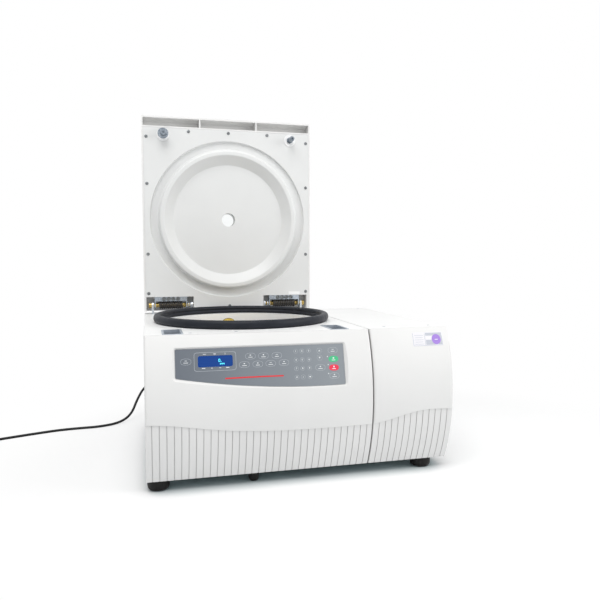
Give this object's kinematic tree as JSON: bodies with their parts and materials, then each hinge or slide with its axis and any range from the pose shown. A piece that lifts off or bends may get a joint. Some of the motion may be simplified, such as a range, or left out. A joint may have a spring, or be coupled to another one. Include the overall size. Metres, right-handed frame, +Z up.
{
  "type": "microplate centrifuge",
  "caption": "Benchtop refrigerated centrifuge for microplates: arched ribbed front with a sloping keypad, hinged dished lid standing open over the bowl, and a swing-out rotor.",
  "frame": {"origin": "on the bench, under the middle of the body without its mains lead", "axes": "+Z up, the front with the keypad faces -Y, the lid hinges along X at the rear"},
  "size_m": [1.308, 0.773, 0.9792],
  "materials": {
    "body_white": "satin",
    "deck_white": "satin",
    "liner_white": "satin",
    "zinc_grey": "matte",
    "membrane": "satin",
    "display": "gloss",
    "board_green": "matte",
    "stainless": "satin",
    "foam": "matte",
    "dark_steel": "matte",
    "bare_aluminium": "satin",
    "seal_rubber": "matte",
    "black_rubber": "matte",
    "black_paint": "satin",
    "black_plastic": "matte",
    "latch_grey": "satin",
    "zinc_plate": "satin",
    "brass_parts": "satin",
    "spring_black": "matte",
    "lead_black": "satin",
    "clear": "gloss",
    "bracket_white": "satin",
    "gold_anodised": "satin",
    "carrier_grey": "satin"
  },
  "bodies": {
    "base": {"base_pan": "zinc_grey", "front_left_moulding": "body_white", "front_right_moulding": "body_white", "deck_cover": "deck_white", "right_top_cover": "deck_white", "left_side_panel": "deck_white", "right_side_panel": "deck_white", "rear_panel": "deck_white", "keypad_membrane": "membrane", "display_window": "display", "control_board": "board_green", "bowl": "stainless", "bowl_insulation": "foam", "armour_ring": "dark_steel", "evaporator_jacket": "bare_aluminium", "gasket": "seal_rubber", "drive_motor": "dark_steel", "motor_mount": "zinc_grey", "motor_isolators": "black_rubber", "compressor": "black_paint", "condenser": "bare_aluminium", "fan_shroud": "black_plastic", "transformer": "dark_steel", "drive_power_module": "bare_aluminium", "latch_bezels": "latch_grey", "latch_actuator": "dark_steel", "hinge_stands": "zinc_plate", "hinge_pins": "brass_parts", "hinge_springs": "spring_black", "spring_bushings": "brass_parts", "feet": "black_rubber", "switch_housing": "black_plastic", "strain_relief": "black_rubber", "mains_lead": "lead_black", "lead_coil": "lead_black", "mains_plug": "black_plastic"},
    "lid": {"lid_shell": "body_white", "lid_liner": "liner_white", "lid_insulation": "foam", "viewport_window": "clear", "lid_screws": "zinc_plate", "left_striker": "zinc_plate", "right_striker": "zinc_plate", "striker_cups": "liner_white", "lid_hinge_brackets": "bracket_white", "lid_hinge_blocks": "black_plastic"},
    "rotor": {"drive_spindle": "stainless", "rotor_yoke": "gold_anodised"},
    "knob": {"tie_down_knob": "bare_aluminium"},
    "latch": {"latch_bar": "zinc_plate"},
    "rocker": {"power_rocker": "black_plastic"},
    "fan": {"condenser_fan": "black_plastic"},
    "carrier_1": {"plate_carrier_1": "carrier_grey"},
    "carrier_2": {"plate_carrier_2": "carrier_grey"},
    "carrier_3": {"plate_carrier_3": "carrier_grey"},
    "carrier_4": {"plate_carrier_4": "carrier_grey"}
  },
  "joints": [
    {"name": "lid_hinge", "type": "hinge", "parent": "base", "child": "lid", "pos_m": [-0.10665, 0.2796, 0.392], "axis": [1, 0, 0], "range_deg": [0, 90], "deforming": ["gasket"]},
    {"name": "rotor_spin", "type": "hinge", "parent": "base", "child": "rotor", "pos_m": [-0.10665, 0.008, 0.312], "axis": [0, 0, 1], "continuous": true},
    {"name": "carrier_1_swing", "type": "hinge", "parent": "rotor", "child": "carrier_1", "pos_m": [-0.20724, 0.08716, 0.312], "axis": [0.6184, 0.7859, 0], "range_deg": [0, 90]},
    {"name": "carrier_2_swing", "type": "hinge", "parent": "rotor", "child": "carrier_2", "pos_m": [-0.18581, -0.09259, 0.312], "axis": [-0.7859, 0.6184, 0], "range_deg": [0, 90]},
    {"name": "carrier_3_swing", "type": "hinge", "parent": "rotor", "child": "carrier_3", "pos_m": [-0.00606, -0.07116, 0.312], "axis": [-0.6184, -0.7859, 0], "range_deg": [0, 90]},
    {"name": "carrier_4_swing", "type": "hinge", "parent": "rotor", "child": "carrier_4", "pos_m": [-0.02749, 0.10859, 0.312], "axis": [0.7859, -0.6184, 0], "range_deg": [0, 90]},
    {"name": "tie_down_turn", "type": "hinge", "parent": "rotor", "child": "knob", "pos_m": [-0.10665, 0.008, 0.35], "axis": [0, 0, 1], "range_deg": [0, 720]},
    {"name": "latch_slide", "type": "slide", "parent": "base", "child": "latch", "axis": [-1, 0, 0], "range_m": [0, 0.018]},
    {"name": "power_rocker_tilt", "type": "hinge", "parent": "base", "child": "rocker", "pos_m": [0.3655, -0.196, 0.11], "axis": [0, -1, 0], "range_deg": [0, 16]},
    {"name": "fan_spin", "type": "hinge", "parent": "base", "child": "fan", "pos_m": [0.3237, 0.04, 0.14], "axis": [1, 0, 0], "continuous": true}
  ]
}
